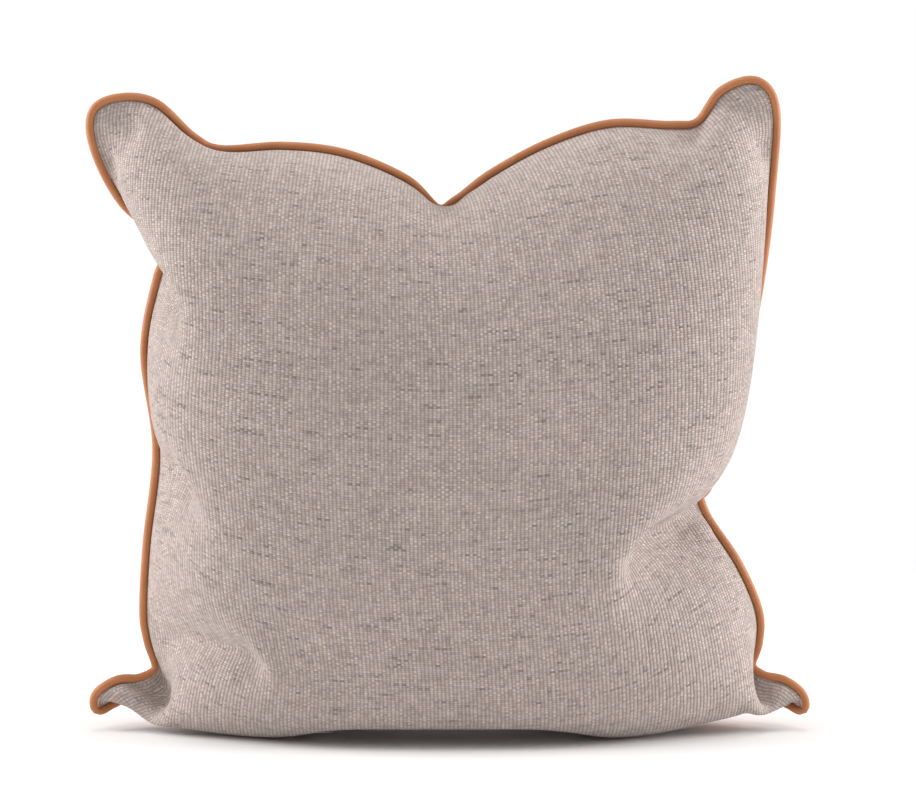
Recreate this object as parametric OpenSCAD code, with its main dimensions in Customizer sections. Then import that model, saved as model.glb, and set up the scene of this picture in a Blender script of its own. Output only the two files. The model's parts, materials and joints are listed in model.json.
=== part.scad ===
// Throw pillow: woven front, leather back in two pieces with a zip between them,
// leather piping all round, and a removable filled insert.
// X runs across the front, which faces -Y. The pillow stands on Z = 0, centred on X and Y.

/* [Cover] */
// Width of the cover across its bottom ears
cover_w = 500; // [480:1:520]
// Height of the cover to its highest ear
cover_h = 450; // [430:1:470]
// Thickness of the stuffed pillow at its fullest
cover_t = 170; // [150:1:180]
// Thickness of the woven front
fabric_t = 1.2; // [1:0.1:1.5]
// Thickness of the leather back
leather_t = 1.2; // [1:0.1:1.4]
// How far the filling sags towards the base
sag = 46; // [40:1:50]

/* [Piping] */
// Diameter of the cotton cord inside the piping
cord_d = 4; // [3.5:0.1:4.5]
// Thickness of the leather wrapped round the cord
wrap_t = 0.8; // [0.7:0.1:0.9]
// Depth of the piping's flange inside the seam
flange_w = 6; // [4:0.5:6]

/* [Zip] */
// Length of the zip between its stops
zip_len = 330; // [300:1:332]
// Height of the zip above the base
zip_z = 60; // [58:1:64]
// Radius of the curve that the zip follows round the back
zip_r = 560; // [550:1:600]
// Distance between two teeth on one tape
tooth_pitch = 2.6; // [2.5:0.1:3]
// Width of one side's tape
tape_w = 14; // [12:0.5:14]
// Length of the slider's pull
pull_len = 30; // [24:1:32]

/* [Insert] */
// Thickness of the insert's cotton ticking
ticking_t = 0.5; // [0.4:0.1:0.6]
// Gap between the cover and the insert
insert_gap = 3; // [2.5:0.1:3.5]

/* [Hidden] */

linen = [0.72, 0.66, 0.61];
tan_leather = [0.74, 0.45, 0.27];
cotton = [0.93, 0.91, 0.86];
brass = [0.72, 0.56, 0.30];
tape_brown = [0.55, 0.36, 0.23];
thread_tan = [0.80, 0.56, 0.36];

// The seam line as x, y, z at a width of 500 and a height of 450. Each side runs from one
// ear's tip to the next: up the left, across the top, down the right, back along the base.
LEFT = [
    [-243, 3, 16], [-241, 2, 26], [-228, 3, 33], [-213, 6, 34], [-201, 10, 42],
    [-206, 6, 63], [-208, 1, 84], [-205, 0, 130], [-198, 0, 196], [-206, 0, 262],
    [-196, 2, 312], [-197, 7, 338], [-221, 4, 364], [-239, 0, 400]
];
TOP = [
    [-240, 0, 424], [-222, 0, 432], [-200, 0, 428], [-176, 2, 406], [-156, 4, 397],
    [-113, 0, 399], [-72, 0, 394], [-31, 4, 377], [-9, 9, 358], [6, 8, 363],
    [30, 4, 381], [67, 0, 401], [108, 0, 414], [150, 0, 413], [170, 4, 416], [186, 1, 437]
];
RIGHT = [
    [208, 0, 443], [219, 0, 424], [216, 0, 370], [209, 0, 310], [199, 0, 256],
    [186, 4, 204], [168, 9, 174], [171, 8, 150], [195, 2, 116], [209, 0, 84],
    [210, 5, 62], [206, 9, 44], [215, 6, 36], [229, 3, 33], [240, 2, 25]
];
BASE = [
    [243, 3, 16], [235, 4, 9], [218, 6, 9], [190, 7, 8], [150, 8, 8], [90, 6, 11],
    [0, 6, 20], [-90, 6, 12], [-150, 8, 8], [-190, 7, 8], [-218, 6, 9], [-235, 4, 9]
];

across = 24;              // steps of the grid across the cover
up = 24;                  // steps of the grid up the cover
insert_steps = 16;        // steps of the insert's grid each way
seam_gap = 1;             // from the seam line to each panel's edge
rim_share = 0.003;        // how far a panel's inner edge is set in, as a share of its width
insert_edge = 0.045;      // share of the cover's width that the insert stays clear of
fill_gap = 2.6;           // from the ticking to the filling
fill_edge = 0.006;        // how much further the filling keeps from the seam, as a share
zip_hollow = 8;           // how far the insert stands back behind the zip
piping_r = cord_d / 2 + wrap_t;
piping_out = piping_r + 0.7;
zip_row = 0.18;           // where the zip lies up the back, as a share of its height
row_height = 600;         // millimetres of height for each unit of row near the zip
window = 12;              // width of the opening between the leather edges
zip_cy = 64 - zip_r;      // centre of the zip's curve
care_label_at = [80, 25, 3.6];
care_label_size = [30, 22, 0.4];
insert_label_at = [-110, -36, 5.4];
insert_label_size = [30, 20, 0.4];
tape_t = 0.6;
tape_mid = zip_r - tape_t / 2;
tape_reach = zip_len / 2 + 13;
tooth_half = 1.3;         // half of a tooth's thickness
plate_gap = 0.3;          // between the slider's plates and the teeth
plate_t = 1.4;
slider_len = 12;
slider_w = 8.6;
pin_r = 0.8;
pin_out = tooth_half + plate_gap + plate_t + 2.2;
slider_at = asin((zip_len / 2 - slider_len / 2 - 2) / zip_r);

// ---- curves and surfaces ----

function smooth(a, b, x) = let (t = max(0, min(1, (x - a) / (b - a)))) t * t * (3 - 2 * t);

function curve_point(p0, p1, p2, p3, t) =
    0.5 * (2 * p1 + (p2 - p0) * t + (2 * p0 - 5 * p1 + 4 * p2 - p3) * t * t
        + (3 * p1 - p0 - 3 * p2 + p3) * t * t * t);

seam_points = [
    for (p = concat(LEFT, TOP, RIGHT, BASE)) [p.x * cover_w / 500, p.y, p.z * cover_h / 450]
];
seam_count = len(seam_points);

// Points along the seam from control point "first" to control point "last"
function fine_points(first, last) = [
    for (i = [first : last - 1], t = [0 : 0.1 : 0.95])
        curve_point(
            seam_points[(i + seam_count - 1) % seam_count], seam_points[i % seam_count],
            seam_points[(i + 1) % seam_count], seam_points[(i + 2) % seam_count], t
        ),
    seam_points[last % seam_count]
];

function lengths(pts) = [
    for (i = 0, s = 0; i < len(pts); i = i + 1, s = s + (i < len(pts) ? norm(pts[i] - pts[i - 1]) : 0)) s
];

edge_steps = 200;
// The same curve as points at equal distances
function even_points(pts) =
    let (
        s = lengths(pts),
        tx = [for (i = [0 : len(pts) - 1]) [s[i], pts[i].x]],
        ty = [for (i = [0 : len(pts) - 1]) [s[i], pts[i].y]],
        tz = [for (i = [0 : len(pts) - 1]) [s[i], pts[i].z]],
        whole = s[len(s) - 1]
    )
    [for (k = [0 : edge_steps])
        let (d = whole * k / edge_steps) [lookup(d, tx), lookup(d, ty), lookup(d, tz)]];

function reversed(list) = [for (i = [len(list) - 1 : -1 : 0]) list[i]];

at_top = len(LEFT);
at_right = at_top + len(TOP);
at_base = at_right + len(RIGHT);
left_edge = even_points(fine_points(0, at_top));
top_edge = even_points(fine_points(at_top, at_right));
right_edge = reversed(even_points(fine_points(at_right, at_base)));
base_edge = reversed(even_points(fine_points(at_base, seam_count)));

function along(edge, s) =
    let (k = max(0, min(edge_steps, s * edge_steps)), i = min(floor(k), edge_steps - 1))
    edge[i] + (edge[i + 1] - edge[i]) * (k - i);

// The seam's own surface, stretched between the four sides
function seam_surface(u, v) =
    along(base_edge, u) * (1 - v) + along(top_edge, u) * v
    + along(left_edge, v) * (1 - u) + along(right_edge, v) * u
    - base_edge[0] * (1 - u) * (1 - v) - base_edge[edge_steps] * u * (1 - v)
    - top_edge[0] * (1 - u) * v - top_edge[edge_steps] * u * v;

// How full the pillow is, from 0 at the seam to 1 in the middle
function fullness(s) = pow(max(0, 1 - pow(abs(2 * s - 1), 2.5)), 0.65);

// How closely the back follows the zip's curve
function zip_pull_in(x, v) =
    (1 - smooth(182, 206, abs(x))) * (1 - smooth(0.032, 0.10, abs(v - zip_row)));

// A point on the outside of the cover; side is -1 on the front and 1 on the back
function cover_point(side, u, v) =
    let (
        s = seam_surface(u, v),
        full = fullness(u) * fullness(v),
        drop = sag * fullness(u) * smooth(0, 0.035, v) * (1 - smooth(0.04, 0.36, v)),
        y = s.y * (1 - full) + side * (seam_gap + (cover_t / 2 - seam_gap) * full),
        z = max(0, s.z - drop),
        w = side > 0 ? zip_pull_in(s.x, v) : 0,
        zip_y = zip_cy + sqrt(pow(zip_r + 0.3 + leather_t, 2) - s.x * s.x),
        band_z = zip_z + (v - zip_row) * row_height
    )
    [s.x, y * (1 - w) + zip_y * w, z * (1 - w) + band_z * w];

// A point inside the cover, a depth below its surface and square to it
function inner_point(side, u, v, depth) =
    let (
        e = 0.004,
        a = max(rim_share, min(1 - rim_share, u)),
        b = max(rim_share, min(1 - rim_share, v)),
        n = cross(
            cover_point(side, min(1, a + e), b) - cover_point(side, max(0, a - e), b),
            cover_point(side, a, min(1, b + e)) - cover_point(side, a, max(0, b - e))
        ),
        p = cover_point(side, a, b) + side * n / norm(n) * depth,
        least = seam_surface(a, b).y + side * seam_gap
    )
    [p.x, side > 0 ? max(p.y, least) : min(p.y, least), max(p.z, depth)];

// Rows or columns, closer together near both ends
function spread(n, from = 0, to = 1) =
    [for (i = [0 : n]) from + (to - from) * (1 - cos(180 * i / n)) / 2];

// ---- solids from grids ----

// A closed solid between two grids of points of the same size
module between(outer, inner, side) {
    nu = len(outer) - 1;
    nv = len(outer[0]) - 1;
    half = (nu + 1) * (nv + 1);
    function id(i, j) = i * (nv + 1) + j;
    points = [for (grid = [outer, inner], row = grid, p = row) p];
    rim = concat(
        [for (j = [0 : nv - 1]) id(0, j)], [for (i = [0 : nu - 1]) id(i, nv)],
        [for (j = [nv : -1 : 1]) id(nu, j)], [for (i = [nu : -1 : 1]) id(i, 0)]
    );
    count = len(rim);
    faces = concat(
        [for (i = [0 : nu - 1], j = [0 : nv - 1]) [id(i, j), id(i, j + 1), id(i + 1, j + 1)]],
        [for (i = [0 : nu - 1], j = [0 : nv - 1]) [id(i, j), id(i + 1, j + 1), id(i + 1, j)]],
        [for (i = [0 : nu - 1], j = [0 : nv - 1])
            [half + id(i, j), half + id(i + 1, j + 1), half + id(i, j + 1)]],
        [for (i = [0 : nu - 1], j = [0 : nv - 1])
            [half + id(i, j), half + id(i + 1, j), half + id(i + 1, j + 1)]],
        [for (k = [0 : count - 1]) let (a = rim[k], b = rim[(k + 1) % count]) [a, half + b, b]],
        [for (k = [0 : count - 1]) let (a = rim[k], b = rim[(k + 1) % count]) [a, half + a, half + b]]
    );
    turned = side < 0 ? faces : [for (f = faces) [f[0], f[2], f[1]]];
    polyhedron(points = points, faces = turned, convexity = 8);
}

// A ring of points carried round the whole seam; each ring point is [outward, back]
module round_seam(ring, path) {
    m = len(ring);
    n = len(path);
    points = [
        for (k = [0 : n - 1])
            let (
                t = path[(k + 1) % n] - path[(k + n - 1) % n],
                out = [-t.z, 0, t.x] / norm([t.x, 0, t.z])
            )
            for (r = ring) path[k] + out * r[0] + [0, r[1], 0]
    ];
    faces = [
        for (k = [0 : n - 1], j = [0 : m - 1])
            let (
                a = k * m + j, b = k * m + (j + 1) % m,
                c = ((k + 1) % n) * m + (j + 1) % m, d = ((k + 1) % n) * m + j
            )
            each [[a, b, c], [a, c, d]]
    ];
    polyhedron(points = points, faces = faces, convexity = 8);
}

// The seam line as one closed list, clockwise from the bottom left
function seam_loop() =
    let (s = spread(across))
    concat(
        [for (i = [0 : across - 1]) along(left_edge, s[i])],
        [for (i = [0 : across - 1]) along(top_edge, s[i])],
        [for (i = [0 : across - 1]) along(right_edge, 1 - s[i])],
        [for (i = [0 : across - 1]) along(base_edge, 1 - s[i])]
    );

function arc_ring(centre, r, from, to, steps) =
    [for (i = [0 : steps]) let (a = from + (to - from) * i / steps) [centre + r * cos(a), r * sin(a)]];

// ---- the cover ----

module front_panel() {
    cols = spread(across);
    rows = spread(up);
    color(linen) between(
        [for (u = cols) [for (v = rows) cover_point(-1, u, v)]],
        [for (u = cols) [for (v = rows) inner_point(-1, u, v, fabric_t)]], -1
    );
}

// Half of the opening over the zip, as a share of the back's height
function half_window(u) = abs(u - 0.5) < 0.41 ? window / 2 / row_height : 0.0006;

module back_piece(rows_from, edge_side) {
    cols = spread(across);
    function row(u, r) = edge_side > 0
        ? zip_row + half_window(u) + (1 - zip_row - half_window(u)) * r
        : (zip_row - half_window(u)) * r;
    color(tan_leather) between(
        [for (u = cols) [for (r = rows_from) cover_point(1, u, row(u, r))]],
        [for (u = cols) [for (r = rows_from) inner_point(1, u, row(u, r), leather_t)]], 1
    );
}

module back_panel_upper() {
    above = [for (i = [1 : 15]) 1 - (1 + cos(180 * (i + 1.6) / 16.6)) / 2];
    back_piece(concat([0, 0.012, 0.025], above), 1);
}

module back_panel_lower() {
    back_piece([0, 0.06, 0.13, 0.22, 0.32, 0.44, 0.56, 0.68, 0.79, 0.87, 0.93, 1], -1);
}

module piping_cover() {
    f = wrap_t + 0.05;
    open = asin(0.1 / (cord_d / 2));
    fold = asin(f / piping_r);
    ring = concat(
        [[-piping_out - flange_w, -f]],
        arc_ring(0, piping_r, -180 + fold, 180 - fold, 8),
        [[-piping_out - flange_w, f], [-piping_out - flange_w, 0.05]],
        reversed(arc_ring(0, cord_d / 2 + 0.02, -180 + open, 180 - open, 7)),
        [[-piping_out - flange_w, -0.05]]
    );
    color(tan_leather) round_seam([for (r = ring) [r[0] + piping_out, r[1]]], seam_loop());
}

module piping_cord() {
    ring = [for (i = [0 : 7]) let (a = 45 * i) (cord_d / 2 - 0.25) * [cos(a), sin(a)]];
    color(cotton) round_seam([for (r = ring) [r[0] + piping_out, r[1]]], seam_loop());
}

module seam_thread() {
    ring = [for (i = [0 : 3]) 0.3 * [cos(90 * i), sin(90 * i)]];
    color(thread_tan) round_seam([for (r = ring) [r[0] - 0.8, r[1]]], seam_loop());
}

// ---- the zip ----

// Puts its children on the zip's curve, turned to face out of the back
module on_curve(angle) {
    translate([0, zip_cy, zip_z])
        rotate([0, 0, -angle])
            translate([0, tape_mid, 0])
                children();
}

// A strip bent round the zip's curve, from z0 to z1 and from depth d0 to d1
module strip(z0, z1, d0, d1, reach) {
    angle = asin(reach / zip_r);
    translate([0, zip_cy, zip_z])
        rotate([0, 0, 90 - angle])
            rotate_extrude(angle = 2 * angle, $fn = 360)
                translate([tape_mid + d0, z0])
                    square([d1 - d0, z1 - z0]);
}

module zip_tape_upper() {
    color(tape_brown) strip(2.45, 2.45 + tape_w, -tape_t / 2, tape_t / 2, tape_reach);
}

module zip_tape_lower() {
    color(tape_brown) strip(-2.45 - tape_w, -2.45, -tape_t / 2, tape_t / 2, tape_reach);
}

module teeth(side) {
    count = floor((zip_len - 4) / tooth_pitch);
    step = asin(tooth_pitch / zip_r);
    for (i = [0 : count - 1])
        on_curve((i - (count - 1) / 2 + side * 0.25) * step)
            translate([-0.6, -tooth_half, side > 0 ? -0.9 : -2.4])
                cube([1.2, 2 * tooth_half, 3.3]);
}

module zip_teeth_upper() {
    color(brass) teeth(1);
}

module zip_teeth_lower() {
    color(brass) teeth(-1);
}

module zip_top_stops() {
    color(brass) on_curve(asin((zip_len / 2 + 1.5) / zip_r))
        for (z = [-2.4, 0.2])
            translate([-1.4, -1.5, z])
                cube([2.8, 3, 2.2]);
}

module zip_bottom_stop() {
    color(brass) on_curve(-asin((zip_len / 2 + 1.5) / zip_r))
        translate([-1.8, -1.5, -2.3])
            cube([3.6, 3, 4.6]);
}

module zip_thread(z) {
    angle = asin((zip_len / 2 + 4) / zip_r);
    translate([0, zip_cy, zip_z + z])
        rotate([0, 0, 90 - angle])
            rotate_extrude(angle = 2 * angle, $fn = 360)
                translate([zip_r + 0.3 + leather_t, 0])
                    circle(r = 0.3, $fn = 16);
}

module zip_thread_upper() {
    color(thread_tan) zip_thread(window / 2 + 3);
}

module zip_thread_lower() {
    color(thread_tan) zip_thread(-window / 2 - 3);
}

// One plate of the slider: rounded at both ends, with its long edges turned over the teeth
module slider_plate(side) {
    near = tooth_half + plate_gap;
    lip = tape_t / 2 + 0.3;
    rotate([side > 0 ? -90 : 90, 0, 0])
        union() {
            translate([0, 0, near])
                linear_extrude(plate_t)
                    intersection() {
                        square([slider_len, slider_w], center = true);
                        circle(r = slider_len / 2 + 0.4, $fn = 64);
                    }
            for (s = [-1, 1])
                translate([-slider_len / 2 + 2, s > 0 ? slider_w / 2 - 1.1 : -slider_w / 2, lip])
                    cube([slider_len - 4, 1.1, near - lip + 0.1]);
        }
}

module zip_slider() {
    color(brass) on_curve(slider_at) {
        slider_plate(-1);
        difference() {
            union() {
                slider_plate(1);
                for (s = [-1, 1])
                    translate([0, 0, s * 2.6 - 0.6]) {
                        translate([0, pin_out, 0])
                            cylinder(r = 1.5, h = 1.2, $fn = 48);
                        translate([-1.5, tooth_half + plate_gap + plate_t - 0.2, 0])
                            cube([3, pin_out - tooth_half - plate_gap - plate_t + 0.2, 1.2]);
                    }
                translate([0, pin_out, -2.4])
                    cylinder(r = pin_r, h = 4.8, $fn = 48);
            }
        }
    }
}

module zip_pull() {
    neck = 3.4;
    tab_w = 7;
    color(brass) on_curve(slider_at)
        translate([0, pin_out, 0])
            difference() {
                union() {
                    translate([0, 0, -neck / 2])
                        cylinder(r = 1.7, h = neck, $fn = 48);
                    translate([-7, -0.7, -neck / 2])
                        cube([7, 1.4, neck]);
                    rotate([90, 0, 0])
                        translate([0, 0, -0.7])
                            linear_extrude(1.4) {
                                translate([-pull_len + tab_w / 2, -tab_w / 2])
                                    square([pull_len - tab_w / 2 - 4, tab_w]);
                                translate([-pull_len + tab_w / 2, 0])
                                    circle(d = tab_w, $fn = 64);
                            }
                }
                translate([0, 0, -neck])
                    cylinder(r = pin_r + 0.06, h = 2 * neck, $fn = 48);
                translate([-pull_len + tab_w / 2, 2, 0])
                    rotate([90, 0, 0])
                        cylinder(r = 1.8, h = 4, $fn = 48);
            }
}

// ---- the insert ----

// A point on the insert's outside, or under it by "under"; edge is how far it keeps from the seam
function insert_point(side, a, b, under, edge) =
    let (
        u = edge + (1 - 2 * edge) * a,
        v = edge + (1 - 2 * edge) * b,
        s = seam_surface(u, v),
        panel = side > 0 ? leather_t : fabric_t,
        hollow = side > 0 ? zip_hollow * zip_pull_in(s.x, v) : 0,
        q = inner_point(side, u, v, panel + insert_gap + hollow + under),
        c = pow(1 - pow(abs(2 * a - 1), 12), 0.5) * pow(1 - pow(abs(2 * b - 1), 12), 0.5),
        flat = max(s.z, 12)
    )
    [q.x, s.y + side * 0.15 + (q.y - s.y - side * 0.15) * c, q.z * c + flat * (1 - c)];

function insert_grid(side, under, edge) =
    let (s = spread(insert_steps))
    [for (a = s) [for (b = s) insert_point(side, a, b, under, edge)]];

module insert_front() {
    color(cotton) between(
        insert_grid(-1, 0, insert_edge), insert_grid(-1, ticking_t, insert_edge + 0.002), -1
    );
}

module insert_back() {
    color(cotton) between(
        insert_grid(1, 0, insert_edge), insert_grid(1, ticking_t, insert_edge + 0.002), 1
    );
}

module insert_fill() {
    color("white") between(
        insert_grid(-1, ticking_t + fill_gap, insert_edge + fill_edge),
        insert_grid(1, ticking_t + fill_gap, insert_edge + fill_edge), -1
    );
}

module insert_seam_thread() {
    e = insert_edge - 0.0015;
    s = spread(insert_steps);
    n = insert_steps;
    function p(u, v) = let (q = seam_surface(u, v)) [q.x, q.y, max(q.z, 12)];
    loop = concat(
        [for (i = [0 : n - 1]) p(e, e + (1 - 2 * e) * s[i])],
        [for (i = [0 : n - 1]) p(e + (1 - 2 * e) * s[i], 1 - e)],
        [for (i = [0 : n - 1]) p(1 - e, 1 - e - (1 - 2 * e) * s[i])],
        [for (i = [0 : n - 1]) p(1 - e - (1 - 2 * e) * s[i], e)]
    );
    ring = [for (i = [0 : 3]) 0.25 * [cos(90 * i), sin(90 * i)]];
    color(cotton) round_seam(ring, loop);
}

// ---- the labels, both blank ----

module care_label() {
    color("white") translate(care_label_at)
        cube(care_label_size);
}

module insert_label() {
    color("white") translate(insert_label_at)
        cube(insert_label_size);
}

front_panel();
back_panel_upper();
back_panel_lower();
piping_cover();
piping_cord();
seam_thread();
zip_tape_upper();
zip_tape_lower();
zip_teeth_upper();
zip_teeth_lower();
zip_top_stops();
zip_bottom_stop();
zip_thread_upper();
zip_thread_lower();
zip_slider();
zip_pull();
insert_front();
insert_back();
insert_seam_thread();
insert_fill();
care_label();
insert_label();
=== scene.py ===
"""A throw pillow: woven front, tan leather back and piping, a zip across the lower back.

Metres, in the frame's own axes: X across the front, which faces -Y, and Z up from the base.
The seam is a curve through listed points. Front and back are cloth cut to a flat size,
pinned along the seam and blown up over the filling by a short cloth simulation.
"""
import json
import math

import bpy
import numpy as np
from mathutils import Matrix, Vector


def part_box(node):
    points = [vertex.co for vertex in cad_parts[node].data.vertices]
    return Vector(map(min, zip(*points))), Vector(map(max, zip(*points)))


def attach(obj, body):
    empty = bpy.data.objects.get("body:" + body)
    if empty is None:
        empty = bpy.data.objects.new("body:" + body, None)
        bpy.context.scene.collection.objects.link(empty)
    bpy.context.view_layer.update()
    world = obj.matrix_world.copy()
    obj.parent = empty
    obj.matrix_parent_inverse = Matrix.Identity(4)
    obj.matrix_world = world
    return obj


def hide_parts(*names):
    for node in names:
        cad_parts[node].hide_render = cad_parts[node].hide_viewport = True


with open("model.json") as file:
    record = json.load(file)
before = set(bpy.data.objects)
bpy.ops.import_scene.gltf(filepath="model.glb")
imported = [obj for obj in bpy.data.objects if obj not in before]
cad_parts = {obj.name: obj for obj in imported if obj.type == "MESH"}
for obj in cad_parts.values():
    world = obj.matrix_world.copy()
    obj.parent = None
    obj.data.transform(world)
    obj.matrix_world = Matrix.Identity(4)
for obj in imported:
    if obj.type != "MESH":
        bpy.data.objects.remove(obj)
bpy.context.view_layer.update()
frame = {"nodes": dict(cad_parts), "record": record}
RECORD = frame["record"]
MM = 0.001

# ---------------------------------------------------------------- sizes

FRONT_CUT = (0.476, 0.455)        # what each side was cut to, inside its seams
BACK_CUT = (0.482, 0.450)
EASE_RIGHT, EASE_LEFT = 0.022, 0.014      # how far the cut is drawn in beside the pinched seam
FULL_DEPTH = 0.085                # from the seam to the fullest point of each side
SEAM_GAP = 0.0016                 # from the seam's middle to each panel's edge
SAG = 0.046                       # how far the filling sinks below the base seam
FLOOR_GAP = 0.0008                # the lowest that the middle of the cloth can lie
CLOTH_T = 0.0012
CORD_R = 0.002
PIPING_R = 0.0029
FLANGE, FLANGE_T = 0.002, 0.0008  # the piping's sewn edge: how far it reaches in, and its thickness
PIPING_OUT = 0.0026               # from the seam line to the middle of the piping

JOINTS = {j["name"]: j for j in RECORD["behaviour"]["joints"]}
ZIP_CENTRE = Vector(JOINTS["zip_travel"]["pos_m"])
TAPE_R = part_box("zip_tape_upper")[1].y - ZIP_CENTRE.y
LEATHER_R = TAPE_R + 0.0003 + CLOTH_T
STOP_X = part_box("zip_top_stops")[1].x
ZIP_ROW = 0.18                    # where the zip lies up the back, as a share of its height
ROW_HEIGHT = 0.600                # metres of height for each unit of row near the zip
HALF_WINDOW = 0.006

# The seam line in millimetres, x, y, z, from one ear's tip to the next:
# up the left, across the top, down the right and back along the base.
LEFT = [
    (-242, 5, 16), (-241, 2, 25), (-228, 3, 33), (-213, 6, 34), (-201, 10, 42), (-206, 6, 63),
    (-208, 1, 84), (-205, 0, 130), (-198, 0, 196), (-206, 0, 262), (-197, 3, 312), (-189, 10, 335),
    (-221, 5, 364), (-239, 0, 400),
]
TOP = [
    (-240, 0, 424), (-222, 0, 432), (-200, 0, 428), (-176, 2, 406), (-156, 4, 397), (-113, 0, 399),
    (-72, 0, 394), (-31, 6, 377), (-9, 11, 357), (6, 9, 363), (30, 4, 381), (67, 0, 401),
    (108, 0, 414), (150, 0, 413), (170, 4, 416), (186, 1, 437),
]
RIGHT = [
    (208, 0, 443), (219, 0, 424), (216, 0, 370), (209, 0, 310), (199, 0, 256), (188, 5, 204),
    (170, 12, 176), (173, 10, 150), (195, 2, 116), (209, 0, 84), (210, 5, 62), (206, 10, 44),
    (215, 6, 36), (229, 3, 33), (240, 2, 25),
]
BASE = [
    (242, 5, 16), (234, 14, 19), (220, 19, 24), (200, 14, 18), (150, 9, 11), (90, 6, 12), (0, 6, 20),
    (-90, 6, 13), (-150, 9, 11), (-200, 14, 18), (-220, 19, 24), (-234, 14, 19),
]

# ---------------------------------------------------------------- curves and surfaces


def smooth(a, b, x):
    t = np.clip((np.asarray(x, float) - a) / (b - a), 0, 1)
    return t * t * (3 - 2 * t)


class Edge:
    """One side of the seam, as a curve that can be read at any share of its length."""

    def __init__(self, first, last, points, steps=400):
        fine = []
        count = len(points)
        for i in range(first, last):
            p0, p1, p2, p3 = (points[(i + k) % count] for k in (-1, 0, 1, 2))
            for t in np.arange(0, 1, 0.05):
                fine.append(0.5 * (
                    2 * p1 + (p2 - p0) * t + (2 * p0 - 5 * p1 + 4 * p2 - p3) * t**2
                    + (3 * p1 - p0 - 3 * p2 + p3) * t**3
                ))
        fine.append(points[last % count])
        fine = np.array(fine)
        run = np.concatenate([[0], np.cumsum(np.linalg.norm(np.diff(fine, axis=0), axis=1))])
        self.length = run[-1]
        at = np.linspace(0, self.length, steps + 1)
        self.points = np.stack([np.interp(at, run, fine[:, k]) for k in range(3)], 1)
        self.steps = steps

    def flipped(self):
        self.points = self.points[::-1].copy()
        return self

    def __call__(self, share):
        at = np.clip(np.asarray(share, float) * self.steps, 0, self.steps)
        grid = np.arange(self.steps + 1)
        return np.stack([np.interp(at, grid, self.points[:, k]) for k in range(3)], -1)


SEAM = np.array(LEFT + TOP + RIGHT + BASE, float) * MM
AT_TOP = len(LEFT)
AT_RIGHT = AT_TOP + len(TOP)
AT_BASE = AT_RIGHT + len(RIGHT)
left_edge = Edge(0, AT_TOP, SEAM)
top_edge = Edge(AT_TOP, AT_RIGHT, SEAM)
right_edge = Edge(AT_RIGHT, AT_BASE, SEAM).flipped()
base_edge = Edge(AT_BASE, len(SEAM), SEAM).flipped()


def seam_surface(u, v):
    """The sheet stretched between the four sides of the seam, u across and v up."""
    U, V = np.asarray(u, float)[..., None], np.asarray(v, float)[..., None]
    low_left, low_right = base_edge.points[0], base_edge.points[-1]
    top_left, top_right = top_edge.points[0], top_edge.points[-1]
    return (
        base_edge(u) * (1 - V) + top_edge(u) * V + left_edge(v) * (1 - U) + right_edge(v) * U
        - low_left * (1 - U) * (1 - V) - low_right * U * (1 - V)
        - top_left * (1 - U) * V - top_right * U * V
    )


def fullness(s):
    return np.maximum(0, 1 - np.abs(2 * s - 1) ** 2.5) ** 0.65


def zip_hold(x, v):
    """How closely the back follows the zip's curve, from 0 to 1."""
    return (1 - smooth(0.182, 0.206, np.abs(x))) * (1 - smooth(0.032, 0.10, np.abs(v - ZIP_ROW)))


def cover_start(side, u, v):
    """Where the cloth starts, before it is simulated: side is -1 in front and 1 behind."""
    s = seam_surface(u, v)
    full = fullness(u) * fullness(v)
    drop = SAG * fullness(u) ** 0.5 * smooth(0, 0.035, v) * (1 - smooth(0.04, 0.36, v))
    y = s[..., 1] * (1 - full) + side * (SEAM_GAP + (FULL_DEPTH - SEAM_GAP) * full)
    z = np.maximum(FLOOR_GAP, s[..., 2] - drop)
    if side > 0:
        w = zip_hold(s[..., 0], v)
        zip_y = ZIP_CENTRE.y + np.sqrt(LEATHER_R**2 - s[..., 0] ** 2)
        y = y * (1 - w) + zip_y * w
        z = z * (1 - w) + (ZIP_CENTRE.z + (v - ZIP_ROW) * ROW_HEIGHT) * w
    return np.stack([s[..., 0], y, z], -1)


# ---------------------------------------------------------------- mesh helpers


def new_object(name, verts, faces, smooth_faces=True):
    mesh = bpy.data.meshes.new(name)
    mesh.from_pydata([tuple(p) for p in np.asarray(verts, float)], [], faces)
    mesh.validate()
    obj = bpy.data.objects.new(name, mesh)
    bpy.context.scene.collection.objects.link(obj)
    mesh.polygons.foreach_set("use_smooth", [smooth_faces] * len(mesh.polygons))
    return obj


def grid_faces(nu, nv, flip, keep=None):
    """Quads of a grid of (nu + 1) by (nv + 1) points; keep(i, j) says which cells are there."""
    faces = []
    for i in range(nu):
        for j in range(nv):
            if keep is None or keep(i, j):
                a, b = i * (nv + 1) + j, (i + 1) * (nv + 1) + j
                faces.append((a, a + 1, b + 1, b) if flip else (a, b, b + 1, a + 1))
    return faces


def set_uv(obj, coords):
    """A UV layer in metres along the cloth, from one pair for each vertex."""
    layer = obj.data.uv_layers.new(name="weave")
    loops = np.empty(len(obj.data.loops), int)
    obj.data.loops.foreach_get("vertex_index", loops)
    layer.data.foreach_set("uv", np.asarray(coords, float)[loops].ravel())


def finish_cloth(obj, thickness, inwards=-1):
    """Rounds a cloth grid off and gives it its thickness."""
    sub = obj.modifiers.new("round", "SUBSURF")
    sub.levels = sub.render_levels = 1
    sub.boundary_smooth = "PRESERVE_CORNERS"
    solid = obj.modifiers.new("thickness", "SOLIDIFY")
    solid.thickness = thickness
    solid.offset = inwards


# ---------------------------------------------------------------- cloth

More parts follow.
